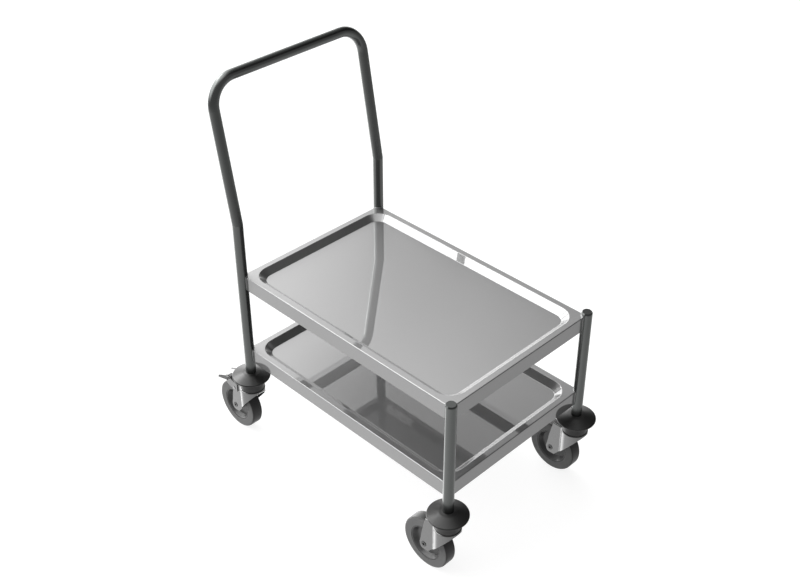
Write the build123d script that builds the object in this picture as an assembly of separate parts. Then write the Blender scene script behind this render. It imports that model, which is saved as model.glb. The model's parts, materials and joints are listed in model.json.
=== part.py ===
from build123d import *
import math
import os

# Two-tier platform trolley, in millimetres. +X is the front, +Y is the left of the person
# who pushes it, +Z is up. The floor is at z = 0 and the origin is under the middle of the
# whole object's box.

# Shelves: two alike pressed trays with a folded skirt
shelf_length = 652.0
shelf_width = 432.0
skirt_height = 37.0
sheet = 1.2
skirt_bend = 2.0
rim_width = 15.0
slope_run = 16.0
recess_depth = 13.0
recess_corner = 42.0
rim_bend = 2.0
deck_bend = 2.0
return_flange = 18.0
shelf_spacing = 210.0

# Stiffening board under each deck
board_inset = 11.0
board_thickness = 8.0

# Posts and push bow: round steel tube
tube_diameter = 25.0
tube_wall = 1.5
weld_gap = 0.2
post_below_shelf = 33.7
front_post_rise = 6.0
mitre_rise = 135.5
bow_rise = 325.0
bow_lean = 56.6
bow_bend = 62.0

# Plug caps of the two front posts
cap_height = 4.5
cap_edge = 1.5
cap_bevel = 2.0
cap_plug_length = 15.0
cap_plug_wall = 2.0
cap_plug_clearance = 0.1

# Wheels
wheel_diameter = 127.0
tyre_width = 29.0
tyre_thickness = 20.5
tread_round = 3.5
tyre_seat_clearance = 0.05
core_rim_inset = 0.7
core_rim_wall = 3.0
core_step_run = 6.5
web_thickness = 9.0
hub_radius = 15.0
bearing_radius = 11.0
bearing_width = 9.0
bearing_seat_clearance = 0.05
sleeve_radius = 7.0
axle_radius = 5.0
axle_bore_radius = 2.9
axle_lip = 1.8
axle_lip_thickness = 1.0
running_clearance = 0.05

# Forks: one pressed hood with a round front and two flat legs
trail = 51.3
crown_radius = 31.0
crown_above_axle = 79.0
fork_sheet = 2.25
crown_edge_round = 2.0
leg_outer_half = 18.8
leg_bend = 4.0
leg_corner_round = 3.0
leg_lobe_round = 9.0
side_gap = 0.3

# Outline of a fork's side, from the crown's front round to the back of the leg's top.
# x as a share of the trail behind the swivel axis, z as a share of the crown's height over the axle.
hood_front_share = (-0.604, 0.948)
leg_toe_share = (0.76, -0.177)
leg_heel_share = (1.175, -0.199)
leg_back_low_share = (1.247, -0.007)
leg_back_knee_share = (1.195, 0.146)
leg_back_mid_share = (1.117, 0.487)
leg_back_top_share = (0.941, 1.0)

# Swivel heads: fixed cover, ball race, turning crown, one stem through all of them
cover_radius = 29.0
cover_wall = 2.5
cover_height = 32.0
cover_round = 1.0
ball_radius = 3.5
ball_count = 12
race_radius = 18.0
race_depth = 0.7
stem_radius = 6.0
collar_radius = 11.0
stem_nut_radius = 10.0
stem_nut_height = 8.0
stem_nut_sides = 6
stem_tail = 2.0
expander_length = 46.0
stem_top_gap = 4.0

# Bumper discs: round shallow cones
disc_radius = 46.2
disc_hub_height = 15.0
disc_boss_radius = 20.5
disc_boss_rise = 1.6
disc_rim_height = 4.7
disc_rim_round = 2.2
disc_wall = 3.5
disc_seat_margin = 1.0

# Foot brakes on the two rear casters
pivot_back_of_axis = 47.5
pivot_above_axle = 58.0
pedal_sheet = 2.0
pedal_eye_radius = 8.5
pedal_arm_length = 30.0
pedal_corner_round = 2.0
fin_length = 37.0
fin_base_width = 16.0
fin_tip_width = 5.0
fin_tip_round = 2.0
fin_droop_degrees = 26.0
fin_twist_degrees = 35.0
rivet_radius = 3.0
rivet_head_radius = 4.2
rivet_head_thickness = 0.6
rivet_tail_thickness = 1.0
shoe_length = 19.0
shoe_height = 20.5
shoe_round = 5.0
shoe_lean_degrees = 12.0
shoe_saddle_width = 12.0
shoe_saddle_depth = 5.5
shoe_touch_clearance = 1.1
brake_press_degrees = 10.0

# Outline of a pedal arm around its pivot, as shares of the arm's length, x backwards, z up
arm_shares = [
    (-0.40, 0.48),
    (0.20, 0.62),
    (0.75, 0.90),
    (0.96, 0.85),
    (0.95, 0.22),
    (0.85, -0.01),
    (0.50, -0.13),
    (-0.40, -0.20),
]

# How far a cutting tool runs past what it cuts
cut_over = 5.0

# Heights and places that follow from the sizes above
tube_radius = tube_diameter / 2
post_x = shelf_length / 2
post_y = shelf_width / 2
wheel_radius = wheel_diameter / 2
tyre_bore_radius = wheel_radius - tyre_thickness
axle_height = wheel_radius
crown_top = axle_height + crown_above_axle
disc_seat = crown_top + side_gap + cover_height
post_foot = disc_seat + disc_hub_height
lower_rim_height = post_foot + post_below_shelf + skirt_height
upper_rim_height = lower_rim_height + shelf_spacing
mitre_height = upper_rim_height + mitre_rise
leg_inner_half = leg_outer_half - fork_sheet
race_gap = 2 * (ball_radius - race_depth)
pivot_x = -pivot_back_of_axis
pivot_z = axle_height + pivot_above_axle

corners = {
    "front_right": (post_x, -post_y),
    "front_left": (post_x, post_y),
    "rear_right": (-post_x, -post_y),
    "rear_left": (-post_x, post_y),
}


def cylinder_between(radius, z_low, z_high):
    """Upright cylinder on the Z axis between two heights."""
    return extrude(Plane.XY.offset(z_low) * Circle(radius), z_high - z_low)


def ring_between(outer, inner, z_low, z_high):
    """Upright tube on the Z axis between two heights."""
    return extrude(Plane.XY.offset(z_low) * (Circle(outer) - Circle(inner)), z_high - z_low)


def cross_cylinder(radius, x, z, half_length):
    """Cylinder along Y, centred on the middle plane."""
    face = Plane.XZ.offset(-half_length) * Pos(x, z) * Circle(radius)
    return extrude(face, 2 * half_length)


def side_plate(sketch, y_near, thickness):
    """Extrudes a side view (x, z) towards -Y, from y = -y_near outwards."""
    return extrude(Plane.XZ.offset(y_near) * sketch, thickness)


def tray_section(z, grow):
    """Rounded rectangle of the tray's recess at height z, each side moved out by grow."""
    out = rim_width + slope_run - (z + recess_depth) * slope_run / recess_depth - grow
    corner = recess_corner + rim_width - out
    outline = RectangleRounded(shelf_length - 2 * out, shelf_width - 2 * out, corner)
    return Plane.XY.offset(z) * outline


def tray_bowl(grow, floor, bend):
    """The tray's recess as a solid, from above the rim down to the floor height."""
    bowl = loft([tray_section(floor, grow), tray_section(cut_over, grow)], ruled=True)
    return fillet(bowl.faces().sort_by(Axis.Z)[0].edges(), bend)


def make_shelf():
    """Pressed tray: rim, sloped recess, folded skirt and return flange, cut out for the posts."""
    top = Align.MAX
    middle = Align.CENTER
    block = Box(shelf_length, shelf_width, skirt_height, align=(middle, middle, top))
    block = fillet(block.faces().sort_by(Axis.Z)[-1].edges(), skirt_bend)
    hollow = Pos(0, 0, -sheet) * Box(
        shelf_length - 2 * sheet,
        shelf_width - 2 * sheet,
        skirt_height - 2 * sheet,
        align=(middle, middle, top),
    )
    hollow = fillet(hollow.faces().sort_by(Axis.Z)[-1].edges(), skirt_bend - sheet)
    slope_growth = sheet * math.hypot(1, slope_run / recess_depth)
    hollow -= tray_bowl(slope_growth, -recess_depth - sheet, deck_bend + sheet)
    window = Pos(0, 0, -skirt_height / 2) * Box(
        shelf_length - 2 * return_flange,
        shelf_width - 2 * return_flange,
        skirt_height + 2 * cut_over,
        align=(middle, middle, top),
    )
    shelf = block - tray_bowl(0, -recess_depth, deck_bend)
    shelf = fillet(shelf.faces().sort_by(Axis.Z)[-1].inner_wires()[0].edges(), rim_bend)
    shelf = shelf - hollow - window
    post_hole = cylinder_between(tube_radius + weld_gap, -skirt_height - cut_over, cut_over)
    for x, y in corners.values():
        shelf -= Pos(x, y, 0) * post_hole
    return shelf


def make_board():
    """Flat board bonded to the underside of a deck."""
    inset = rim_width + slope_run + board_inset
    board = Box(
        shelf_length - 2 * inset,
        shelf_width - 2 * inset,
        board_thickness,
        align=(Align.CENTER, Align.CENTER, Align.MAX),
    )
    return Pos(0, 0, -recess_depth - sheet) * board


def mitre_plane():
    """Plane that halves the angle between the upright posts and the leaning bow."""
    reach = math.hypot(bow_lean, bow_rise)
    normal = Vector(-bow_lean / reach, 0, 1 + bow_rise / reach)
    return Plane(origin=(-post_x, 0, mitre_height), x_dir=(0, 1, 0), z_dir=normal)


def make_front_post():
    return ring_between(
        tube_radius, tube_radius - tube_wall, post_foot, upper_rim_height + front_post_rise
    )


def make_rear_post(y):
    """Upright tube at its own place, cut off at the mitre under the bow."""
    post = ring_between(
        tube_radius, tube_radius - tube_wall, post_foot, mitre_height + tube_diameter
    )
    return split(Pos(-post_x, y, 0) * post, bisect_by=mitre_plane(), keep=Keep.BOTTOM)


def make_bow():
    """Tube that leans back from both mitres and crosses at the top with two round bends."""
    foot = Vector(-post_x, 0, mitre_height)
    lean = Vector(-bow_lean, 0, bow_rise)
    start = foot - lean.normalized() * tube_diameter
    top = foot + lean
    side = Vector(0, post_y, 0)
    path = FilletPolyline(start - side, top - side, top + side, start + side, radius=bow_bend)
    profile = Plane(origin=start - side, z_dir=lean)
    outside = sweep(profile * Circle(tube_radius), path=path)
    bore = sweep(profile * Circle(tube_radius - tube_wall), path=path)
    return split(outside - bore, bisect_by=mitre_plane(), keep=Keep.TOP)


def make_post_cap():
    """Plug cap with a bevelled head, standing on the end of a front post."""
    plug_radius = tube_radius - tube_wall - cap_plug_clearance
    head = cylinder_between(tube_radius, 0, cap_edge)
    bevel = Plane.XY.offset(cap_edge) * Circle(tube_radius)
    crown = Plane.XY.offset(cap_height) * Circle(tube_radius - cap_bevel)
    plug = ring_between(plug_radius, plug_radius - cap_plug_wall, -cap_plug_length, 0)
    return head + loft([bevel, crown]) + plug


def turn_about_axle(section):
    """Full turn of a section drawn with x = radius and y = width, placed on the axle."""
    return Pos(-trail, 0, axle_height) * revolve(section, Axis.Y)


def make_tyre():
    half = tyre_width / 2
    section = Pos((tyre_bore_radius + wheel_radius) / 2, 0) * Rectangle(
        wheel_radius - tyre_bore_radius, 2 * half
    )
    tread_edges = section.vertices().sort_by(Axis.X)[-2:]
    return turn_about_axle(fillet(tread_edges, tread_round))


def make_wheel_core():
    """Moulded wheel body: rim, stepped recess on both sides, web and hub."""
    rim_outer = tyre_bore_radius - tyre_seat_clearance
    rim_half = tyre_width / 2 - core_rim_inset
    rim_inner = rim_outer - core_rim_wall
    web_half = web_thickness / 2
    hub_half = leg_inner_half - 2 * side_gap
    bore = bearing_radius + bearing_seat_clearance
    upper = [
        (bore, hub_half),
        (hub_radius, hub_half),
        (hub_radius, web_half),
        (rim_inner - core_step_run, web_half),
        (rim_inner, rim_half),
        (rim_outer, rim_half),
    ]
    lower = [(radius, -width) for radius, width in reversed(upper)]
    return turn_about_axle(make_face(Polyline(*upper, *lower, close=True)))


def make_wheel_bearings():
    """Pair of bearing rings in the two ends of the hub."""
    outer_face = leg_inner_half - side_gap
    inner = sleeve_radius + running_clearance
    width = bearing_radius - inner
    middle = outer_face - bearing_width / 2
    rings = []
    for side in (-1, 1):
        section = Pos(inner + width / 2, side * middle) * Rectangle(width, bearing_width)
        rings.append(turn_about_axle(section))
    return Compound(rings)


def make_axle_sleeve():
    outer = cross_cylinder(sleeve_radius, -trail, axle_height, leg_inner_half)
    bore = axle_radius + running_clearance
    return outer - cross_cylinder(bore, -trail, axle_height, leg_outer_half)


def make_wheel_axle():
    """Hollow axle whose ends are rolled over the outside of both legs."""
    reach = leg_outer_half + axle_lip_thickness
    axle = cross_cylinder(axle_radius, -trail, axle_height, reach)
    lip = cross_cylinder(axle_radius + axle_lip, -trail, axle_height, reach)
    lip -= cross_cylinder(axle_radius + axle_lip, -trail, axle_height, leg_outer_half)
    axle = axle + lip
    return axle - cross_cylinder(axle_bore_radius, -trail, axle_height, reach + cut_over)


def fork_plan(shrink):
    """Keyhole outline seen from above, round at the front, with each wall moved in by shrink."""
    round_front = Circle(crown_radius - shrink)
    length = crown_radius + trail
    legs = Pos(-length / 2, 0) * Rectangle(length, 2 * (leg_outer_half - shrink))
    plan = round_front + legs
    crease_x = -math.sqrt((crown_radius - shrink) ** 2 - (leg_outer_half - shrink) ** 2)
    corners_by_distance = sorted(plan.vertices(), key=lambda v: abs(v.X - crease_x))
    return fillet(corners_by_distance[:2], leg_bend + shrink)


def fork_side_point(share):
    return (-trail * share[0], axle_height + crown_above_axle * share[1])


def fork_side():
    """Side view of the hood: slanted front edge, rounded axle lobe and upright back edge."""
    front_x, front_z = fork_side_point(hood_front_share)
    toe_x, toe_z = fork_side_point(leg_toe_share)
    slant = (front_z - toe_z) / (front_x - toe_x)
    past_x = crown_radius + cut_over
    points = [
        (past_x, crown_top),
        (past_x, front_z + slant * (past_x - front_x)),
        (toe_x, toe_z),
        fork_side_point(leg_heel_share),
        fork_side_point(leg_back_low_share),
        fork_side_point(leg_back_knee_share),
        fork_side_point(leg_back_mid_share),
        fork_side_point(leg_back_top_share),
    ]
    side = make_face(Polyline(*points, close=True))
    heel = side.vertices().sort_by_distance(Vertex(*points[3], 0))[0]
    side = fillet(heel, leg_lobe_round)
    toe = side.vertices().sort_by_distance(Vertex(toe_x, toe_z, 0))[0]
    return fillet(toe, leg_corner_round)


def race_groove(z):
    """Ring-shaped groove tool for the swivel's balls, centred at height z."""
    return Pos(0, 0, z) * Torus(race_radius, ball_radius + running_clearance)


def ball_height():
    return crown_top + ball_radius - race_depth


def make_fork():
    """Pressed hood with its crown plate, bored for the stem and the axle."""
    low = -cut_over
    outside = extrude(fork_plan(0), crown_top)
    outside = fillet(outside.faces().sort_by(Axis.Z)[-1].edges(), crown_edge_round)
    inside = extrude(Plane.XY.offset(low) * fork_plan(fork_sheet), crown_top - low + cut_over)
    walls = outside - inside
    plate = cylinder_between(crown_radius - crown_edge_round, crown_top - fork_sheet, crown_top)
    side = extrude(Plane.XZ.offset(-2 * crown_radius) * fork_side(), 4 * crown_radius)
    fork = (walls + plate) & side
    fork -= cylinder_between(stem_radius + running_clearance, 0, crown_top + cut_over)
    fork -= race_groove(ball_height())
    return fork - cross_cylinder(
        axle_radius + running_clearance, -trail, axle_height, leg_outer_half + cut_over
    )


def make_braked_fork():
    hole = rivet_radius + running_clearance
    return make_fork() - cross_cylinder(hole, pivot_x, pivot_z, leg_outer_half + cut_over)


def make_swivel_cover():
    """Fixed cover over the ball race: skirt around the balls, web on them, open cup above."""
    low = crown_top + side_gap
    high = disc_seat
    web_low = crown_top + race_gap
    web_high = web_low + cover_wall
    cover = cylinder_between(cover_radius, low, high)
    cover = fillet(cover.edges().sort_by(Axis.Z)[0], cover_round)
    inner = cover_radius - cover_wall
    cover -= cylinder_between(inner, low - cut_over, web_low)
    cover -= cylinder_between(inner, web_high, high + cut_over)
    cover -= cylinder_between(stem_radius + running_clearance, low, high)
    return cover - race_groove(ball_height())


def make_swivel_balls():
    """Ring of loose balls between the crown and the cover."""
    balls = []
    for number in range(ball_count):
        angle = 2 * math.pi * number / ball_count
        place = (race_radius * math.cos(angle), race_radius * math.sin(angle), ball_height())
        balls.append(Pos(*place) * Sphere(ball_radius))
    return Compound(balls)


def make_stem():
    """Stem with its collar, and the nut that holds the crown from below."""
    nut_top = crown_top - fork_sheet - side_gap
    nut_low = nut_top - stem_nut_height
    web_high = crown_top + race_gap + cover_wall
    top = post_foot + expander_length - stem_top_gap
    stem = cylinder_between(stem_radius, nut_low - stem_tail, top)
    stem += cylinder_between(collar_radius, web_high, disc_seat)
    nut_outline = RegularPolygon(stem_nut_radius, stem_nut_sides) - Circle(
        stem_radius + running_clearance
    )
    nut = extrude(Plane.XY.offset(nut_low) * nut_outline, stem_nut_height)
    return Compound([stem, nut])


def make_tube_expander():
    """Rubber sleeve that grips the inside of the post's lower end."""
    outer = tube_radius - tube_wall - running_clearance
    inner = stem_radius + running_clearance
    return ring_between(outer, inner, post_foot, post_foot + expander_length)


def make_bumper_disc():
    """Shallow cone with a rounded rim, dished below, resting on the swivel cover."""
    rim_top = disc_seat + disc_rim_height
    seat = tube_radius + disc_seat_margin
    under_rise = disc_hub_height - disc_rim_height
    points = [
        (stem_radius + running_clearance, disc_seat),
        (cover_radius, disc_seat),
        (cover_radius, disc_seat + disc_rim_height - disc_wall + under_rise / 2),
        (disc_radius - disc_wall, disc_seat),
        (disc_radius, disc_seat),
        (disc_radius, rim_top),
        (disc_boss_radius, post_foot - disc_boss_rise),
        (seat, post_foot),
        (stem_radius + running_clearance, post_foot),
    ]
    section = make_face(Polyline(*points, close=True))
    rim = section.vertices().sort_by(Axis.X)[-2:]
    section = fillet(rim, disc_rim_round)
    return revolve(Plane.XZ * section, Axis.Z)


def make_brake_arm():
    """Side plate of the pedal on the right: eye, arm and the twisted foot fin."""
    inner_face = leg_outer_half + side_gap
    arm_points = [
        (pivot_x - pedal_arm_length * back, pivot_z + pedal_arm_length * up)
        for back, up in arm_shares
    ]
    outline = make_face(Polyline(*arm_points, close=True))
    tail = outline.vertices().sort_by(Axis.X)[:2]
    outline = fillet(tail, pedal_corner_round)
    outline += Pos(pivot_x, pivot_z) * Circle(pedal_eye_radius)
    outline -= Pos(pivot_x, pivot_z) * Circle(rivet_radius + running_clearance)
    return side_plate(outline, inner_face, pedal_sheet) + make_fin()


def make_fin():
    """Tapering foot fin that slopes down behind the arm and is twisted to face up and outwards."""
    droop = math.radians(fin_droop_degrees)
    twist = math.radians(fin_twist_degrees)
    along = Vector(-math.cos(droop), 0, -math.sin(droop))
    upwards = Vector(-math.sin(droop), 0, math.cos(droop))
    outwards = Vector(0, -math.cos(twist), 0) + upwards * math.sin(twist)
    root_back, root_up = arm_shares[3]
    root = Vector(
        pivot_x - pedal_arm_length * root_back,
        -(leg_outer_half + side_gap + pedal_sheet / 2),
        pivot_z + pedal_arm_length * root_up - fin_base_width / 2,
    )
    start = root - along * fin_base_width / 2
    plane = Plane(origin=start, x_dir=along, z_dir=outwards).offset(-pedal_sheet / 2)
    length = fin_length + fin_base_width / 2
    points = [
        (0, -fin_base_width / 2),
        (length, -fin_tip_width / 2),
        (length, fin_tip_width / 2),
        (0, fin_base_width / 2),
    ]
    outline = make_face(Polyline(*points, close=True))
    tip = outline.vertices().sort_by(Axis.X)[-2:]
    fin = extrude(plane * fillet(tip, fin_tip_round), pedal_sheet)
    inner_face = Plane.XZ.offset(leg_outer_half + side_gap)
    return split(fin, bisect_by=inner_face, keep=Keep.TOP)


def make_brake_pedal():
    """The two side plates of the pedal, a mirrored pair."""
    arm = make_brake_arm()
    return Compound([arm, mirror(arm, about=Plane.XZ)])


def make_brake_pivots():
    """Pair of rivets that carry the pedal's eyes on the outside of the legs."""
    plate_outer = leg_outer_half + 2 * side_gap + pedal_sheet
    spot = Pos(pivot_x, pivot_z)
    shank = side_plate(spot * Circle(rivet_radius), leg_inner_half, plate_outer - leg_inner_half)
    head = side_plate(spot * Circle(rivet_head_radius), plate_outer, rivet_head_thickness)
    tail_start = leg_inner_half - rivet_tail_thickness
    tail = side_plate(spot * Circle(rivet_head_radius), tail_start, rivet_tail_thickness)
    rivet = shank + head + tail
    return Compound([rivet, mirror(rivet, about=Plane.XZ)])


def pressed_axle():
    """Where the axle is, seen from the pedal, once the pedal is pressed down."""
    press = math.radians(brake_press_degrees)
    back = -trail - pivot_x
    down = axle_height - pivot_z
    x = back * math.cos(press) + down * math.sin(press)
    z = -back * math.sin(press) + down * math.cos(press)
    return pivot_x + x, pivot_z + z


def make_brake_shoe():
    """Block between the side plates, hollowed to the tyre's round and saddle-shaped on top."""
    lean = math.radians(shoe_lean_degrees)
    middle = wheel_radius + shoe_height / 2
    place = Pos(-trail - middle * math.sin(lean), axle_height + middle * math.cos(lean))
    outline = place * Rot(0, 0, shoe_lean_degrees) * Rectangle(shoe_length, shoe_height)
    outline = fillet(outline.vertices().sort_by(Axis.Y)[-2:], shoe_round)
    half = leg_outer_half + side_gap
    block = extrude(Plane.XZ.offset(-half) * outline, 2 * half)
    tyre_x, tyre_z = pressed_axle()
    block -= cross_cylinder(wheel_radius + shoe_touch_clearance, tyre_x, tyre_z, half + cut_over)
    high = wheel_radius + shoe_height
    depth = shoe_saddle_depth
    saddle = Pos(-trail - high * math.sin(lean), axle_height + high * math.cos(lean))
    saddle = saddle * Rot(0, 0, shoe_lean_degrees) * Rectangle(2 * shoe_length, 2 * depth)
    return block - extrude(Plane.XZ.offset(-shoe_saddle_width / 2) * saddle, shoe_saddle_width)


def build_frame():
    """Nodes of the welded frame, at their places in the trolley."""
    nodes = {}
    shelf = make_shelf()
    board = make_board()
    for level, height in (("lower", lower_rim_height), ("upper", upper_rim_height)):
        nodes[f"{level}_shelf"] = Pos(0, 0, height) * shelf
        nodes[f"{level}_deck_board"] = Pos(0, 0, height) * board
    for name, (x, y) in corners.items():
        post = Pos(x, y, 0) * make_front_post() if x > 0 else make_rear_post(y)
        nodes[f"{name}_post"] = post
    nodes["push_bow"] = make_bow()
    cap = Pos(post_x, 0, upper_rim_height + front_post_rise) * make_post_cap()
    caps = [Pos(0, side * post_y, 0) * cap for side in (-1, 1)]
    nodes["front_post_caps"] = Compound(caps)
    return nodes


def build_casters():
    """Nodes of the four casters; the two at the rear also have a foot brake."""
    plain = {
        "tube_expander": make_tube_expander(),
        "stem": make_stem(),
        "bumper_disc": make_bumper_disc(),
        "swivel_cover": make_swivel_cover(),
        "swivel_balls": make_swivel_balls(),
        "fork": make_fork(),
        "wheel_axle": make_wheel_axle(),
        "axle_sleeve": make_axle_sleeve(),
        "wheel_bearings": make_wheel_bearings(),
        "wheel_core": make_wheel_core(),
        "tyre": make_tyre(),
    }
    braked = dict(plain)
    braked["fork"] = make_braked_fork()
    braked["brake_pedal"] = make_brake_pedal()
    braked["brake_pivots"] = make_brake_pivots()
    braked["brake_shoe"] = make_brake_shoe()
    nodes = {}
    for name, (x, y) in corners.items():
        pieces = plain if x > 0 else braked
        for piece, shape in pieces.items():
            nodes[f"{name}_{piece}"] = Pos(x, y, 0) * shape
    return nodes


nodes = build_frame() | build_casters()

# The casters reach further back than forward, so the whole trolley moves along X to put the
# middle of its box on the origin.
front_reach = max(shape.bounding_box().max.X for shape in nodes.values())
rear_reach = min(shape.bounding_box().min.X for shape in nodes.values())
shift_x = -(front_reach + rear_reach) / 2

os.makedirs("parts", exist_ok=True)
for name, shape in nodes.items():
    export_step(Pos(shift_x, 0, 0) * shape, f"parts/{name}.step")
print(len(nodes), "nodes, moved along X by", round(shift_x, 3))
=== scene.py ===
import json
import math
from typing import NamedTuple

import bmesh
import bpy
import numpy as np
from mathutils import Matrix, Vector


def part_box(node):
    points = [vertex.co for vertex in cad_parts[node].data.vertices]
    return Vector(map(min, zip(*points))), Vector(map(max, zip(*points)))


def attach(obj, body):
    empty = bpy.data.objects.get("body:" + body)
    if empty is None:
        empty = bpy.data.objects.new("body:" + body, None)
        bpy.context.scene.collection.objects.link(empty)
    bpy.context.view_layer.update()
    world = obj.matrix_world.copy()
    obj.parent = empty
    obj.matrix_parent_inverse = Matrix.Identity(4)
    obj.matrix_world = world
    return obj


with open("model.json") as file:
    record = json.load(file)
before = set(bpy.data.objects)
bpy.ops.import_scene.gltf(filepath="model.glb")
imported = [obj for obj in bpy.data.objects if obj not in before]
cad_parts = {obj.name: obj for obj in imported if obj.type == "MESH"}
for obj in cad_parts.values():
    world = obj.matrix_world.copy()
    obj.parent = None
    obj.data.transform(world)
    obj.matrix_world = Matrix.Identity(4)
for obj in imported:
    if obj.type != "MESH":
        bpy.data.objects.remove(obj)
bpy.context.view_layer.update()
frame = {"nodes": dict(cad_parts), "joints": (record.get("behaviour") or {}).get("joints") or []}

# Looks of the two-tier platform trolley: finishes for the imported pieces, the welds that join its
# frame, and a pale studio with the photograph's camera. Lengths are in metres.

bl_info = {
    "name": "Platform trolley looks",
    "version": (1, 0, 0),
    "blender": (4, 5, 0),
    "location": "View3D > Sidebar > Trolley",
    "description": "Steel, plastic and rubber finishes, welds and studio of a two-tier platform trolley",
    "category": "Material",
}

CORNERS = ("front_right", "front_left", "rear_right", "rear_left")
MM = 0.001


class Finish(NamedTuple):
    """How far a finish varies: tone as factors of its colour, roughness, and its relief's height."""

    tone: tuple
    rough: tuple
    relief: float = 0.0


SHEET = Finish(tone=(0.98, 1.02), rough=(0.52, 0.56), relief=0.004 * MM)
TUBE = Finish(tone=(0.98, 1.02), rough=(0.23, 0.27), relief=0.0005 * MM)
ZINC = Finish(tone=(0.97, 1.03), rough=(0.16, 0.21), relief=0.004 * MM)
TURNED = Finish(tone=(0.94, 1.04), rough=(0.16, 0.26), relief=0.006 * MM)
# Tone and roughness of the axles' steel, whose dark colour is painted shade
AXLE_STEEL = Finish(tone=(0.95, 1.05), rough=(0.3, 0.36))
WELD = Finish(tone=(0.85, 1.05), rough=(0.25, 0.4), relief=0.12 * MM)
CAP = Finish(tone=(0.97, 1.03), rough=(0.12, 0.16))
DISC = Finish(tone=(0.9, 1.1), rough=(0.28, 0.34), relief=0.004 * MM)
COVER = Finish(tone=(0.94, 1.06), rough=(0.3, 0.42), relief=0.01 * MM)
WHEEL = Finish(tone=(0.94, 1.06), rough=(0.2, 0.3), relief=0.01 * MM)
TYRE = Finish(tone=(0.94, 1.06), rough=(0.5, 0.4), relief=0.02 * MM)  # rough: sides, tread
SHOE = Finish(tone=(0.9, 1.1), rough=(0.4, 0.5), relief=0.04 * MM)
EXPANDER = Finish(tone=(0.9, 1.1), rough=(0.6, 0.75), relief=0.04 * MM)

# What the rolling grain adds to the sheet's roughness, and the sheet's polished skin, which mirrors sharply
SHEET_GRAIN_ROUGH = (0.0, 0.04)
SKIN_ROUGHNESS = 0.015
SKIN_IOR = 3.0

# What each finer layer of a noise pattern keeps of the coarser one's height
FINER_SHARE = 0.55

PLASTIC_IOR = 1.5
RUBBER_IOR = 1.52
DISC_GLOSS_LEVEL = 0.65

# How squarely a tyre's surface faces along its axle, from 0 to 1, where its side ends and its tread begins
SIDE_ENDS = 0.86
TREAD_BEGINS = 0.78

# Points of the welds' surfaces, and rounds in which a mitre's slope is found
BEAD_SIDES = 10
CORNER_POINTS = 40
CLIMB_POINTS = 16
SEAM_POINTS = 96
SLOPE_ROUNDS = 8

# Soft shapes of light and shade in the studio, all in degrees: azimuth from +X towards +Y, elevation,
# and the angles from that direction at which the shape begins to fade and has ended
GROUND = (0, -90, 48, 92)
LIGHT_WALL_BEHIND = (168, 8, 18, 42.5)
LIGHT_WALL_BESIDE = (222, 38, 15, 40)
LIT_GROUND = (165, -32, 20, 45)
LIGHT_ABOVE = (150, 75, 10, 50)
LIGHT_FAR_SIDE = (130, 5, 10, 28)
DARK_FLAG = (75, 45, 24, 46)
HOT_LAMP = (180, 41, 7, 13)
GROUND_BRIGHTENS_TOWARDS = (-0.94, -0.34, 0.0)

PHOTO_SIZE_PX = (800, 578)


def linear(hex_colour):
    """sRGB hex colour as linear red, green, blue and an alpha of 1."""
    parts = [int(hex_colour[i:i + 2], 16) / 255 for i in (1, 3, 5)]
    return [c / 12.92 if c <= 0.04045 else ((c + 0.055) / 1.055) ** 2.4 for c in parts] + [1.0]


WHITE = linear("#FFFFFF")


def colour_setting(name, description, hex_colour):
    return bpy.props.FloatVectorProperty(
        name=name, description=description, default=linear(hex_colour), size=4, subtype="COLOR",
        min=0.0, max=1.0,
    )


def length_setting(name, description, metres):
    return bpy.props.FloatProperty(
        name=name, description=description, default=metres, unit="LENGTH", min=0.0, precision=5,
    )


def level_setting(name, description, level):
    return bpy.props.FloatProperty(name=name, description=description, default=level, min=0.0)


class TrolleyColours(bpy.types.PropertyGroup):
    """Base colours of the trolley's finishes and of the floor."""

    sheet: colour_setting("Sheet steel", "Pressed stainless shelves", "#888888")
    board: colour_setting("Deck board", "Steel facing of the board under each deck", "#747474")
    tube: colour_setting("Tube", "Posts and push bow", "#767877")
    cap: colour_setting("Post caps", "Dark metal coat of the plugs on the front posts", "#646665")
    disc: colour_setting("Bumper discs", "Satin moulded cones", "#181817")
    cover: colour_setting("Swivel covers", "Fixed covers over the ball races", "#4A4A4A")
    fork: colour_setting("Forks", "Zinc-plated pressed forks and brake pedals", "#8E8E8E")
    bright: colour_setting("Bright steel", "Stems, balls, sleeves, bearings, rivets and welds", "#B0B0B0")
    # The axles' dark colour is painted shade, which makes each axle's end read as a dark hole in its fork
    axle: colour_setting("Axles", "Oiled steel of the axles", "#6A6A6A")
    wheel: colour_setting("Wheel bodies", "Moulded wheel centres", "#5A5A5A")
    tyre: colour_setting("Tyre sides", "Grey rubber of the tyres' sides", "#727272")
    tread: colour_setting("Treads", "Dark rubber of the running surfaces", "#3C3C3C")
    shoe: colour_setting("Brake shoes", "Dark hard rubber blocks", "#3C3C3C")
    rubber: colour_setting("Expanders", "Black rubber in the post ends", "#1A1A1A")
    floor: colour_setting("Floor", "Pale matt floor", "#909090")


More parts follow.
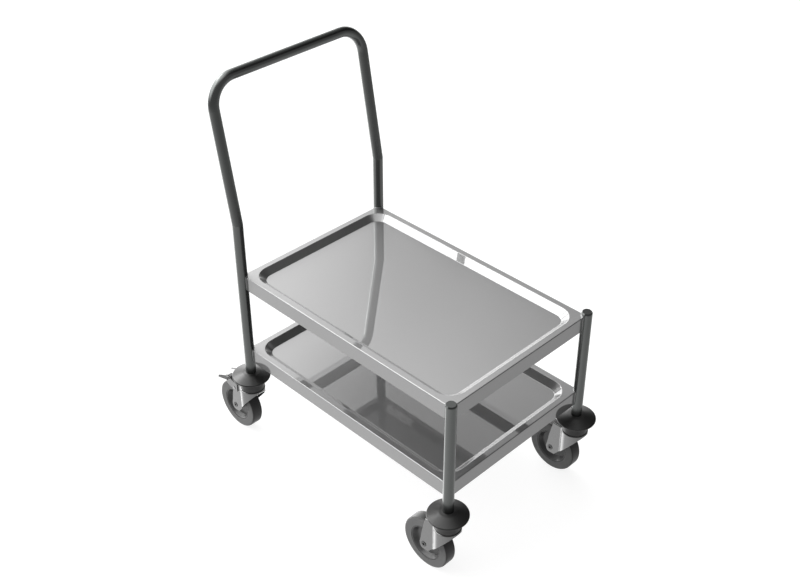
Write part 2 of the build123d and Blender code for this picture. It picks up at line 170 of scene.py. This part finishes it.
class TrolleySizes(bpy.types.PropertyGroup):
    """Sizes of the welds and of the finishes' patterns."""

    weld_radius: length_setting("Weld bead", "Half the width of the beads at the shelves", 0.9 * MM)
    seam_radius: length_setting("Mitre seam", "Half the width of the ground seams at the bow", 0.4 * MM)
    skirt_bend: length_setting("Skirt bend", "Outer radius of the fold that the beads follow", 2 * MM)
    weld_ripple: length_setting("Weld ripple", "Distance between the ripples of a bead", 1.6 * MM)
    sheet_grain: length_setting("Sheet grain", "Width of the rolling grain, coarser than real", 0.5 * MM)
    smudge: length_setting("Handling marks", "Size of the soft marks on polished steel", 70 * MM)
    peel: length_setting("Ripple", "Width of the slight ripple in a ground tube or a glossy skin", 1.8 * MM)
    zinc_spot: length_setting("Zinc mottle", "Size of the zinc layer's cloudy spots", 5 * MM)
    oil_stain: length_setting("Oil stains", "Size of the soft stains on the oiled axles", 7 * MM)
    scuff: length_setting("Scuffs", "Size of the soft scuffs on the bumper discs", 28 * MM)
    mould_cloud: length_setting("Moulding clouds", "Size of the faint clouds in moulded plastic", 21 * MM)
    spark: length_setting("Mould texture", "Grain of moulded plastic and pressed zinc", 0.7 * MM)
    bloom: length_setting("Rubber bloom", "Size of the faint clouds of bloom on rubber", 24.5 * MM)
    rubber_grit: length_setting("Rubber grit", "Grain of the moulded rubber", 0.6 * MM)


class TrolleyStage(bpy.types.PropertyGroup):
    """Camera, floor and light of the studio."""

    camera_place: bpy.props.FloatVectorProperty(
        name="Camera", description="Where the photograph was taken from",
        default=(1.55442, -1.5427, 2.01777), subtype="TRANSLATION", unit="LENGTH", precision=5,
    )
    camera_turn: bpy.props.FloatVectorProperty(
        name="Turn", description="How the camera is turned",
        default=[math.radians(a) for a in (55.6412, -0.1007, 44.8064)], subtype="EULER",
    )
    focal_length_px: level_setting("Focal length", "In pixels of the photograph", 1194.46)
    centre_px: bpy.props.FloatVectorProperty(
        name="Optical centre", description="Pixel of the photograph that the lens points at",
        default=(407.77, 270.04), size=2,
    )
    sensor_width_mm: level_setting("Sensor", "Width of the camera's sensor in millimetres", 36.0)
    camera_reach: length_setting("Reach", "Farthest distance that the camera sees", 50.0)
    floor_half: length_setting("Floor", "Half the side of the floor", 6.0)
    floor_rough: level_setting("Floor roughness", "Roughness of the matt floor", 0.9)
    floor_white: level_setting("Floor glow", "White that the camera and clear pieces see on it", 0.86)
    room: level_setting("Room", "Even light of the studio", 0.22)
    ground: level_setting("Ground", "Light of the pale ground under the trolley", 0.74)
    ground_slope: level_setting("Ground slope", "What the ground gains towards its brighter side", 0.27)
    lit_ground: level_setting("Lit ground", "What the lit ground behind the push bow adds", 1.4)
    wall: level_setting("Light wall", "What the soft light wall adds at its two middles", 2.35)
    above: level_setting("Light above", "What the soft light above adds at its middle", 1.7)
    far_side: level_setting("Far light", "What the soft light low on the far side adds", 1.1)
    lamp: level_setting("Lamp", "Hot lamp in the wall, which draws thin bright lines on round steel", 7.0)
    flag: level_setting("Flag", "Share of the light that the dark flag holds back", 0.85)


def add(tree, kind, inputs=None, **settings):
    """Adds one node with its settings; an input is a value, or another node's socket to join."""
    node = tree.nodes.new(kind)
    for name, value in settings.items():
        setattr(node, name, value)
    for name, value in (inputs or {}).items():
        if isinstance(value, bpy.types.NodeSocket):
            tree.links.new(value, node.inputs[name])
        else:
            node.inputs[name].default_value = value
    return node


def begin(name):
    """New node material and its object coordinates in metres."""
    material = bpy.data.materials.new(name)
    material.use_nodes = True
    tree = material.node_tree
    tree.nodes.clear()
    place = add(tree, "ShaderNodeTexCoord").outputs["Object"]
    return material, tree, place


def finish(tree, **inputs):
    """Principled shader with the given inputs, named with _ for each space, joined to the output."""
    named = {key.replace("_", " "): value for key, value in inputs.items()}
    shader = add(tree, "ShaderNodeBsdfPrincipled", named)
    add(tree, "ShaderNodeOutputMaterial", {"Surface": shader.outputs["BSDF"]})


def cloud(tree, place, size, detail, stretch=(1.0, 1.0, 1.0)):
    """Noise whose blobs are size wide; a stretch under 1 draws them out along that axis."""
    mapped = add(tree, "ShaderNodeMapping", {"Vector": place, "Scale": stretch})
    noise = add(tree, "ShaderNodeTexNoise", {
        "Vector": mapped.outputs["Vector"], "Scale": 1.0 / size, "Detail": detail, "Roughness": FINER_SHARE,
    })
    return noise.outputs["Fac"]


def spread(tree, pattern, span):
    """The middle of a noise pattern, from 0.3 to 0.7, stretched to run over the span."""
    node = add(tree, "ShaderNodeMapRange", {
        "Value": pattern, "From Min": 0.3, "From Max": 0.7, "To Min": span[0], "To Max": span[1],
    })
    return node.outputs["Result"]


def tinted(tree, colour, pattern, span):
    """The colour made darker and lighter by a pattern that runs over the span."""
    node = add(tree, "ShaderNodeVectorMath", {
        "Vector": colour, "Scale": spread(tree, pattern, span),
    }, operation="SCALE")
    return node.outputs["Vector"]


def bumped(tree, height, depth):
    """Surface normal raised by a 0 to 1 pattern of the given depth."""
    node = add(tree, "ShaderNodeBump", {"Height": height, "Distance": depth, "Strength": 1.0})
    return node.outputs["Normal"]


def rolled_stainless_bright(name, colour, sizes):
    """Bright-annealed stainless sheet, deep drawn: a wide satin sheen under a polished skin that mirrors
    sharply, with rolling grain along the trolley and soft handling marks, which show in its gloss and
    hardly in its tone."""
    material, tree, place = begin(name)
    grain = cloud(tree, place, sizes.sheet_grain, detail=2.0, stretch=(0.04, 1.0, 1.0))
    marks = cloud(tree, place, sizes.smudge, detail=4.0)
    gloss = add(tree, "ShaderNodeMath", {
        0: spread(tree, marks, SHEET.rough), 1: spread(tree, grain, SHEET_GRAIN_ROUGH),
    }, operation="ADD").outputs["Value"]
    finish(
        tree, Base_Color=tinted(tree, colour[:3], marks, SHEET.tone), Metallic=1.0, Roughness=gloss,
        Normal=bumped(tree, grain, SHEET.relief), Coat_Weight=1.0, Coat_Roughness=SKIN_ROUGHNESS,
        Coat_IOR=SKIN_IOR,
    )
    return material


def tube_steel_satin(colour, sizes):
    """Round steel tube, ground to a dark satin gloss, with the slight ripple of its grinding around it."""
    material, tree, place = begin("steel_tube_dark_satin")
    ripple = cloud(tree, place, sizes.peel, detail=2.0, stretch=(1.0, 1.0, 0.25))
    marks = cloud(tree, place, sizes.smudge, detail=3.0)
    finish(
        tree, Base_Color=tinted(tree, colour[:3], marks, TUBE.tone), Metallic=1.0,
        Roughness=spread(tree, marks, TUBE.rough), Normal=bumped(tree, ripple, TUBE.relief),
    )
    return material


def zinc_plated_pressed(colour, sizes):
    """Bright zinc on pressed steel: a soft metal gloss with cloudy spots."""
    material, tree, place = begin("steel_pressed_zinc_plated")
    spots = cloud(tree, place, sizes.zinc_spot, detail=4.0)
    fine = cloud(tree, place, sizes.spark, detail=2.0)
    finish(
        tree, Base_Color=tinted(tree, colour[:3], spots, ZINC.tone), Metallic=1.0,
        Roughness=spread(tree, spots, ZINC.rough), Normal=bumped(tree, fine, ZINC.relief),
    )
    return material


def turned_steel_plated(colour, sizes):
    """Turned and plated steel of stems, balls, sleeves, bearings and rivets: brighter than the forks, with
    a fine grain."""
    material, tree, place = begin("steel_turned_bright_plated")
    grain = cloud(tree, place, sizes.sheet_grain, detail=2.0)
    finish(
        tree, Base_Color=tinted(tree, colour[:3], grain, TURNED.tone), Metallic=1.0,
        Roughness=spread(tree, grain, TURNED.rough), Normal=bumped(tree, grain, TURNED.relief),
    )
    return material


def axle_steel_dark_painted_shade(colour, sizes):
    """Turned steel of the axles with soft oil stains, duller than the plated pieces; its dark colour is
    painted shade, which makes each axle's end read as a dark hole in its fork.
    """
    material, tree, place = begin("steel_turned_dark_painted_shade")
    stains = cloud(tree, place, sizes.oil_stain, detail=2.0)
    finish(
        tree, Base_Color=tinted(tree, colour[:3], stains, AXLE_STEEL.tone), Metallic=1.0,
        Roughness=spread(tree, stains, AXLE_STEEL.rough),
    )
    return material


def weld_steel(colour, sizes):
    """Weld metal, brushed after welding: brighter than the tube, with the ripples of its beads."""
    material, tree, place = begin("steel_weld_brushed")
    ripple = cloud(tree, place, sizes.weld_ripple, detail=1.0)
    finish(
        tree, Base_Color=tinted(tree, colour[:3], ripple, WELD.tone), Metallic=1.0,
        Roughness=spread(tree, ripple, WELD.rough), Normal=bumped(tree, ripple, WELD.relief),
    )
    return material


def cap_nylon_metallised(colour, sizes):
    """Moulded nylon with a dark metal coat that matches the tube and is smoother than its grinding."""
    material, tree, place = begin("nylon_dark_metallised")
    clouds = cloud(tree, place, sizes.mould_cloud, detail=3.0)
    finish(
        tree, Base_Color=tinted(tree, colour[:3], clouds, CAP.tone), Metallic=1.0,
        Roughness=spread(tree, clouds, CAP.rough),
    )
    return material


def disc_plastic_satin(colour, sizes):
    """Injection-moulded plastic, nearly black, with a satin skin that takes the light in a soft slope."""
    material, tree, place = begin("plastic_satin_dark_moulded")
    ripple = cloud(tree, place, sizes.peel, detail=2.0)
    scuffs = cloud(tree, place, sizes.scuff, detail=3.0)
    finish(
        tree, Base_Color=tinted(tree, colour[:3], scuffs, DISC.tone), IOR=PLASTIC_IOR,
        Specular_IOR_Level=DISC_GLOSS_LEVEL, Roughness=spread(tree, scuffs, DISC.rough),
        Normal=bumped(tree, ripple, DISC.relief),
    )
    return material


def moulded_plastic(name, colour, sizes, look):
    """Moulded plastic with a fine spark-eroded texture and slight unevenness of colour."""
    material, tree, place = begin(name)
    grit = cloud(tree, place, sizes.spark, detail=2.0)
    clouds = cloud(tree, place, sizes.mould_cloud, detail=3.0)
    finish(
        tree, Base_Color=tinted(tree, colour[:3], clouds, look.tone), IOR=PLASTIC_IOR,
        Roughness=spread(tree, grit, look.rough), Normal=bumped(tree, grit, look.relief),
    )
    return material


def cover_coat_dull(colour, sizes):
    """Dark coat on the swivel covers, a little dull and finely textured like moulded plastic."""
    return moulded_plastic("coat_dull_dark_grey", colour, sizes, COVER)


def wheel_polypropylene(colour, sizes):
    """Polypropylene wheel body with a waxy gloss."""
    return moulded_plastic("polypropylene_grey_moulded", colour, sizes, WHEEL)


def rubber(name, colour, sizes, look):
    """Rubber with a fine grit and faint clouds of bloom."""
    material, tree, place = begin(name)
    grit = cloud(tree, place, sizes.rubber_grit, detail=3.0)
    bloom = cloud(tree, place, sizes.bloom, detail=4.0)
    finish(
        tree, Base_Color=tinted(tree, colour[:3], bloom, look.tone), IOR=RUBBER_IOR,
        Roughness=spread(tree, bloom, look.rough), Normal=bumped(tree, grit, look.relief),
    )
    return material


def shoe_rubber_dark(colour, sizes):
    """Dark hard rubber of the brake blocks."""
    return rubber("rubber_dark_brake_block", colour, sizes, SHOE)


def expander_rubber(colour, sizes):
    """Black rubber of the sleeves in the post ends."""
    return rubber("rubber_black_expander", colour, sizes, EXPANDER)


def tyre_rubber_two_tone(corner, side_colour, tread_colour, sizes):
    """Tyre with satin grey sides and a darker, polished tread: the tread begins where the surface turns
    away from the axle's direction by more than about 35 degrees."""
    material, tree, place = begin(f"rubber_two_tone_tyre_{corner}")
    spin = next(j for j in frame["joints"] if j["name"] == f"{corner}_wheel_spin")
    turned = add(tree, "ShaderNodeTexCoord").outputs["Normal"]
    along_axle = add(tree, "ShaderNodeVectorMath", {0: turned, 1: spin["axis"]}, operation="DOT_PRODUCT")
    sideways = add(tree, "ShaderNodeMath", {0: along_axle.outputs["Value"]}, operation="ABSOLUTE")
    tread = add(tree, "ShaderNodeMapRange", {
        "Value": sideways.outputs["Value"], "From Min": SIDE_ENDS, "From Max": TREAD_BEGINS,
    }, interpolation_type="SMOOTHSTEP").outputs["Result"]
    rough = add(tree, "ShaderNodeMapRange", {
        "Value": tread, "To Min": TYRE.rough[0], "To Max": TYRE.rough[1],
    }).outputs["Result"]
    colour = add(tree, "ShaderNodeVectorMath", {
        0: [t - s for t, s in zip(tread_colour[:3], side_colour[:3])], 1: tread, 2: side_colour[:3],
    }, operation="MULTIPLY_ADD").outputs["Vector"]
    grit = cloud(tree, place, sizes.rubber_grit, detail=3.0)
    bloom = cloud(tree, place, sizes.bloom, detail=4.0)
    finish(
        tree, Base_Color=tinted(tree, colour, bloom, TYRE.tone), IOR=RUBBER_IOR, Roughness=rough,
        Normal=bumped(tree, grit, TYRE.relief),
    )
    return material


def dress(names, material):
    """Gives the named CAD nodes the material in all their slots."""
    for name in names:
        mesh = frame["nodes"][name].data
        mesh.materials.clear()
        mesh.materials.append(material)


def each_corner(*pieces):
    """Node names of the pieces at all four corners."""
    return [f"{corner}_{piece}" for corner in CORNERS for piece in pieces]


def settings():
    """The scene's colours, sizes and stage settings."""
    scene = bpy.context.scene
    return scene.trolley_colours, scene.trolley_sizes, scene.trolley_stage


def bead_faces(rings, sides, closed):
    """Quads between neighbouring rings, and between the last and the first where the path closes."""
    ring, side = np.meshgrid(np.arange(rings if closed else rings - 1), np.arange(sides), indexing="ij")
    following = (ring + 1) % rings
    beside = (side + 1) % sides
    quads = [
        ring * sides + side, ring * sides + beside, following * sides + beside, following * sides + side,
    ]
    return np.stack([q.ravel() for q in quads], axis=1)


def bead(path, radius, closed=False):
    """Round bead along a path, as points and faces: around each path point goes a circle square to the
    path. Along an open bead the circle's radius is the bead's radius times the square root of
    1 - (2s - 1)^8, for s from 0 to 1, but never under a hundredth of it, so that both ends close in a
    dome."""
    count = len(path)
    if closed:
        along = np.roll(path, -1, axis=0) - np.roll(path, 1, axis=0)
    else:
        along = np.gradient(path, axis=0)
    along /= np.linalg.norm(along, axis=1, keepdims=True)
    never_along = (0.3, 0.2, 0.93)
    across = np.cross(along, never_along)
    across /= np.linalg.norm(across, axis=1, keepdims=True)
    third = np.cross(along, across)
    share = np.linspace(-1, 1, count)
    swell = np.ones(count) if closed else np.sqrt(np.clip(1 - share ** 8, 1e-4, 1))
    turn = np.linspace(0, 2 * math.pi, BEAD_SIDES, endpoint=False)
    rim = np.cos(turn)[None, :, None] * across[:, None] + np.sin(turn)[None, :, None] * third[:, None]
    points = (path[:, None] + radius * swell[:, None, None] * rim).reshape(-1, 3)
    faces = bead_faces(count, BEAD_SIDES, closed).tolist()
    if not closed:
        first = list(range(BEAD_SIDES))
        last = list(range(len(points) - BEAD_SIDES, len(points)))
        faces += [first, last[::-1]]
    return points, faces


def solid_piece(name, parts, material, body):
    """One mesh object from several closed surfaces, smooth, riding on a body."""
    points = []
    faces = []
    start = 0
    for part_points, part_faces in parts:
        points.append(part_points)
        faces += [[index + start for index in face] for face in part_faces]
        start += len(part_points)
    mesh = bpy.data.meshes.new(name)
    mesh.from_pydata(np.concatenate(points).tolist(), [], faces)
    mesh.materials.append(material)
    mesh.shade_smooth()
    piece = bpy.data.objects.new(name, mesh)
    bpy.context.scene.collection.objects.link(piece)
    recalculate_outwards(piece)
    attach(piece, body)


def recalculate_outwards(piece):
    """Turns all faces of a closed mesh outwards."""
    work = bmesh.new()
    work.from_mesh(piece.data)
    bmesh.ops.recalc_face_normals(work, faces=work.faces)
    work.to_mesh(piece.data)
    work.free()


def tube_radius(post):
    """Outer radius of an upright post."""
    low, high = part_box(post)
    return (high.y - low.y) / 2


def fold_drop(distance, bend):
    """How far a folded edge has dropped at a distance inside its flat side:
    bend - sqrt(bend^2 - (bend - distance)^2) within the bend, and nothing further in."""
    inside = np.clip(bend - distance, 0, bend)
    return bend - np.sqrt(bend ** 2 - inside ** 2)


def shelf_weld_path(corner, shelf, radius, bend):
    """Line where a post's round meets a shelf's corner: up one skirt, around a quarter turn on the rim,
    dropping with the fold at both ends, and down the other skirt."""
    low, high = (np.array(c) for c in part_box(shelf))
    side = np.array([1 if "front" in corner else -1, 1 if "left" in corner else -1])
    axis = np.where(side > 0, high[:2], low[:2])
    turn = np.linspace(0, math.pi / 2, CORNER_POINTS)
    inward = radius * np.stack([np.cos(turn), np.sin(turn)], axis=1)
    height = high[2] - fold_drop(inward[:, 0], bend) - fold_drop(inward[:, 1], bend)
    arc = np.column_stack([axis - side * inward, height])
    climb = np.linspace(low[2], high[2] - bend, CLIMB_POINTS)[:-1]
    first = np.column_stack([np.tile(arc[0, :2], (len(climb), 1)), climb])
    last = np.column_stack([np.tile(arc[-1, :2], (len(climb), 1)), climb[::-1]])
    return np.concatenate([first, arc, last])


def mitre_seam_path(post, radius):
    """Ellipse where an upright post meets the leaning bow: the tube's circle, raised at each point by the
    mitre plane's slope, which is the lean over the sum of the bow's rise and its slanted length. The
    seam's middle lies a tube radius times the slope under the post's top, so the two are found in turns."""
    low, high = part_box(post)
    bow_low, bow_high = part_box("push_bow")
    tube = tube_radius(post)
    centre_x, centre_y = (low.x + high.x) / 2, (low.y + high.y) / 2
    lean = centre_x - bow_low.x - tube
    slope = 0.0
    for _ in range(SLOPE_ROUNDS):
        middle = high.z - slope * tube
        rise = bow_high.z - tube - middle
        slope = lean / (math.hypot(lean, rise) + rise)
    turn = np.linspace(0, 2 * math.pi, SEAM_POINTS, endpoint=False)
    return np.stack([
        centre_x + radius * np.cos(turn), centre_y + radius * np.sin(turn),
        middle + slope * radius * np.cos(turn),
    ], axis=1)


class TROLLEY_OT_shelves(bpy.types.Operator):
    """Bright sheet steel on both shelves and on the boards under their decks"""

    bl_idname = "trolley.shelves"
    bl_label = "Shelves"

    def execute(self, context):
        colours, sizes, _ = settings()
        sheet = rolled_stainless_bright("stainless_sheet_bright_annealed", colours.sheet, sizes)
        board = rolled_stainless_bright("stainless_facing_of_board", colours.board, sizes)
        dress(["lower_shelf", "upper_shelf"], sheet)
        dress(["lower_deck_board", "upper_deck_board"], board)
        return {"FINISHED"}


class TROLLEY_OT_tubes(bpy.types.Operator):
    """Dark satin steel on the four posts and the push bow"""

    bl_idname = "trolley.tubes"
    bl_label = "Posts and push bow"

    def execute(self, context):
        colours, sizes, _ = settings()
        dress(each_corner("post") + ["push_bow"], tube_steel_satin(colours.tube, sizes))
        return {"FINISHED"}


class TROLLEY_OT_caps(bpy.types.Operator):
    """Dark metallised nylon on the plugs of the front posts"""

    bl_idname = "trolley.caps"
    bl_label = "Post caps"

    def execute(self, context):
        colours, sizes, _ = settings()
        dress(["front_post_caps"], cap_nylon_metallised(colours.cap, sizes))
        return {"FINISHED"}


class TROLLEY_OT_welds(bpy.types.Operator):
    """Weld beads where the posts go through the shelves, and ground seams at the bow's mitres"""

    bl_idname = "trolley.welds"
    bl_label = "Welds"

    def execute(self, context):
        colours, sizes, _ = settings()
        steel = weld_steel(colours.bright, sizes)
        for shelf in ("lower_shelf", "upper_shelf"):
            parts = []
            for corner in CORNERS:
                path = shelf_weld_path(corner, shelf, tube_radius(f"{corner}_post"), sizes.skirt_bend)
                parts.append(bead(path, sizes.weld_radius))
            solid_piece(f"{shelf}_welds", parts, steel, "frame")
        parts = []
        for post in ("rear_right_post", "rear_left_post"):
            path = mitre_seam_path(post, tube_radius(post) - sizes.seam_radius / 2)
            parts.append(bead(path, sizes.seam_radius, closed=True))
        tube = frame["nodes"]["push_bow"].data.materials[0]
        solid_piece("bow_mitre_seams", parts, tube, "frame")
        return {"FINISHED"}


class TROLLEY_OT_bumper_discs(bpy.types.Operator):
    """Satin dark plastic on the four bumper discs"""

    bl_idname = "trolley.bumper_discs"
    bl_label = "Bumper discs"

    def execute(self, context):
        colours, sizes, _ = settings()
        dress(each_corner("bumper_disc"), disc_plastic_satin(colours.disc, sizes))
        return {"FINISHED"}


class TROLLEY_OT_swivels(bpy.types.Operator):
    """Dull dark coat on the swivel covers, bright steel on stems and balls, rubber on the expanders"""

    bl_idname = "trolley.swivels"
    bl_label = "Swivel heads"

    def execute(self, context):
        colours, sizes, _ = settings()
        dress(each_corner("swivel_cover"), cover_coat_dull(colours.cover, sizes))
        dress(each_corner("stem", "swivel_balls"), turned_steel_plated(colours.bright, sizes))
        dress(each_corner("tube_expander"), expander_rubber(colours.rubber, sizes))
        return {"FINISHED"}


class TROLLEY_OT_forks(bpy.types.Operator):
    """Zinc-plated steel on the four forks"""

    bl_idname = "trolley.forks"
    bl_label = "Forks"

    def execute(self, context):
        colours, sizes, _ = settings()
        dress(each_corner("fork"), zinc_plated_pressed(colours.fork, sizes))
        return {"FINISHED"}


class TROLLEY_OT_wheels(bpy.types.Operator):
    """Two-tone tyres, moulded wheel bodies, axles whose dark colour is painted shade, and bright bearings
    on the four wheels
    """

    bl_idname = "trolley.wheels"
    bl_label = "Wheels"

    def execute(self, context):
        colours, sizes, _ = settings()
        for corner in CORNERS:
            dress([f"{corner}_tyre"], tyre_rubber_two_tone(corner, colours.tyre, colours.tread, sizes))
        dress(each_corner("wheel_core"), wheel_polypropylene(colours.wheel, sizes))
        # The axles' dark colour is painted shade, which makes each axle's end read as a dark hole
        dress(each_corner("wheel_axle"), axle_steel_dark_painted_shade(colours.axle, sizes))
        dress(each_corner("axle_sleeve", "wheel_bearings"), turned_steel_plated(colours.bright, sizes))
        return {"FINISHED"}


class TROLLEY_OT_brakes(bpy.types.Operator):
    """Zinc-plated pedals, bright rivets and dark rubber blocks on the two foot brakes"""

    bl_idname = "trolley.brakes"
    bl_label = "Foot brakes"

    def execute(self, context):
        colours, sizes, _ = settings()
        sides = ("rear_right", "rear_left")
        dress([f"{side}_brake_pedal" for side in sides], zinc_plated_pressed(colours.fork, sizes))
        dress([f"{side}_brake_pivots" for side in sides], turned_steel_plated(colours.bright, sizes))
        dress([f"{side}_brake_shoe" for side in sides], shoe_rubber_dark(colours.shoe, sizes))
        return {"FINISHED"}


def facing(tree, direction, azimuth, elevation, from_degrees, to_degrees):
    """1 within from_degrees of a direction and 0 past to_degrees, fading smoothly between."""
    a = math.radians(azimuth)
    e = math.radians(elevation)
    aim = (math.cos(a) * math.cos(e), math.sin(a) * math.cos(e), math.sin(e))
    dot = add(tree, "ShaderNodeVectorMath", {0: direction, 1: aim}, operation="DOT_PRODUCT")
    fade = add(tree, "ShaderNodeMapRange", {
        "Value": dot.outputs["Value"],
        "From Min": math.cos(math.radians(to_degrees)), "From Max": math.cos(math.radians(from_degrees)),
    }, interpolation_type="SMOOTHSTEP")
    return fade.outputs["Result"]


def scaled_sum(tree, base, *terms):
    """base plus each pattern times its weight."""
    total = base
    for pattern, weight in terms:
        node = add(tree, "ShaderNodeMath", {0: pattern, 1: weight, 2: total}, operation="MULTIPLY_ADD")
        total = node.outputs["Value"]
    return total


def studio_world(stage):
    """Studio around the trolley, as polished steel sees it: a dim room over a pale ground that is brightest
    behind the push bow, with a broad light wall there that holds a small hot lamp, soft lights above and
    low on the far side, and a dark flag that holds light back. The camera sees all of it white."""
    world = bpy.data.worlds.new("studio")
    world.use_nodes = True
    tree = world.node_tree
    tree.nodes.clear()
    direction = add(tree, "ShaderNodeTexCoord").outputs["Generated"]
    brighter_side = add(tree, "ShaderNodeVectorMath", {
        0: direction, 1: GROUND_BRIGHTENS_TOWARDS,
    }, operation="DOT_PRODUCT").outputs["Value"]
    ground = scaled_sum(tree, stage.ground - stage.room, (brighter_side, stage.ground_slope))
    level = scaled_sum(
        tree, stage.room,
        (ground, facing(tree, direction, *GROUND)),
        (facing(tree, direction, *LIGHT_WALL_BEHIND), stage.wall),
        (facing(tree, direction, *LIGHT_WALL_BESIDE), stage.wall),
        (facing(tree, direction, *LIT_GROUND), stage.lit_ground),
        (facing(tree, direction, *LIGHT_ABOVE), stage.above),
        (facing(tree, direction, *LIGHT_FAR_SIDE), stage.far_side),
    )
    passed = scaled_sum(tree, 1.0, (facing(tree, direction, *DARK_FLAG), -stage.flag))
    level = add(tree, "ShaderNodeMath", {0: level, 1: passed}, operation="MULTIPLY").outputs["Value"]
    level = scaled_sum(tree, level, (facing(tree, direction, *HOT_LAMP), stage.lamp))
    seen = add(tree, "ShaderNodeLightPath").outputs["Is Camera Ray"]
    level = add(tree, "ShaderNodeMath", {0: level, 1: seen}, operation="MAXIMUM").outputs["Value"]
    light = add(tree, "ShaderNodeBackground", {"Color": WHITE, "Strength": level})
    add(tree, "ShaderNodeOutputWorld", {"Surface": light.outputs["Background"]})
    bpy.context.scene.world = world


def studio_floor(stage, colour):
    """Pale matt floor that the camera and clear pieces see almost white with the trolley's shadow. Polished
    steel mirrors the world's pale ground in its place."""
    half = stage.floor_half
    corners = [(-half, -half, 0), (half, -half, 0), (half, half, 0), (-half, half, 0)]
    mesh = bpy.data.meshes.new("floor")
    mesh.from_pydata(corners, [], [(0, 1, 2, 3)])
    floor = bpy.data.objects.new("floor", mesh)
    bpy.context.scene.collection.objects.link(floor)
    floor.visible_glossy = False
    material, tree, _ = begin("floor_pale_matt")
    path = add(tree, "ShaderNodeLightPath")
    seen = add(tree, "ShaderNodeMath", {
        0: path.outputs["Is Camera Ray"], 1: path.outputs["Is Transmission Ray"],
    }, operation="MAXIMUM").outputs["Value"]
    glow = add(tree, "ShaderNodeMath", {
        0: seen, 1: stage.floor_white,
    }, operation="MULTIPLY").outputs["Value"]
    finish(
        tree, Base_Color=colour, Roughness=stage.floor_rough, Specular_IOR_Level=0.0,
        Emission_Color=WHITE, Emission_Strength=glow,
    )
    mesh.materials.append(material)


def photo_camera(stage):
    """The photograph's camera: lens and shift from the focal length and the optical centre in pixels."""
    width, height = PHOTO_SIZE_PX
    lens = bpy.data.cameras.new("photo_camera")
    lens.sensor_width = stage.sensor_width_mm
    lens.lens = stage.focal_length_px / width * lens.sensor_width
    lens.shift_x = (width / 2 - stage.centre_px[0]) / width
    lens.shift_y = (stage.centre_px[1] - height / 2) / width
    lens.clip_end = stage.camera_reach
    camera = bpy.data.objects.new("photo_camera", lens)
    camera.location = stage.camera_place
    camera.rotation_euler = stage.camera_turn
    bpy.context.scene.collection.objects.link(camera)
    bpy.context.scene.camera = camera


class TROLLEY_OT_studio(bpy.types.Operator):
    """Pale floor, soft studio light and the photograph's camera"""

    bl_idname = "trolley.studio"
    bl_label = "Studio"

    def execute(self, context):
        colours, _, stage = settings()
        studio_world(stage)
        studio_floor(stage, colours.floor)
        photo_camera(stage)
        context.scene.view_settings.view_transform = "Standard"
        return {"FINISHED"}


OPERATORS = (
    TROLLEY_OT_studio,
    TROLLEY_OT_shelves,
    TROLLEY_OT_tubes,
    TROLLEY_OT_caps,
    TROLLEY_OT_welds,
    TROLLEY_OT_bumper_discs,
    TROLLEY_OT_swivels,
    TROLLEY_OT_forks,
    TROLLEY_OT_wheels,
    TROLLEY_OT_brakes,
)


class TROLLEY_PT_looks(bpy.types.Panel):
    """Lists the trolley's pieces and their settings"""

    bl_label = "Platform trolley"
    bl_space_type = "VIEW_3D"
    bl_region_type = "UI"
    bl_category = "Trolley"

    def draw(self, context):
        for operator in OPERATORS:
            self.layout.operator(operator.bl_idname)
        for group in settings():
            for name in group.bl_rna.properties.keys():
                if name not in ("rna_type", "name"):
                    self.layout.prop(group, name)


GROUPS = (
    ("trolley_colours", TrolleyColours),
    ("trolley_sizes", TrolleySizes),
    ("trolley_stage", TrolleyStage),
)


def register():
    for name, group in GROUPS:
        bpy.utils.register_class(group)
        setattr(bpy.types.Scene, name, bpy.props.PointerProperty(type=group))
    for operator in OPERATORS:
        bpy.utils.register_class(operator)
    bpy.utils.register_class(TROLLEY_PT_looks)


def unregister():
    bpy.utils.unregister_class(TROLLEY_PT_looks)
    for operator in reversed(OPERATORS):
        bpy.utils.unregister_class(operator)
    for name, group in reversed(GROUPS):
        delattr(bpy.types.Scene, name)
        bpy.utils.unregister_class(group)


def main():
    register()
    for operator in OPERATORS:
        group, action = operator.bl_idname.split(".")
        getattr(getattr(bpy.ops, group), action)()


if __name__ == "__main__":
    main()
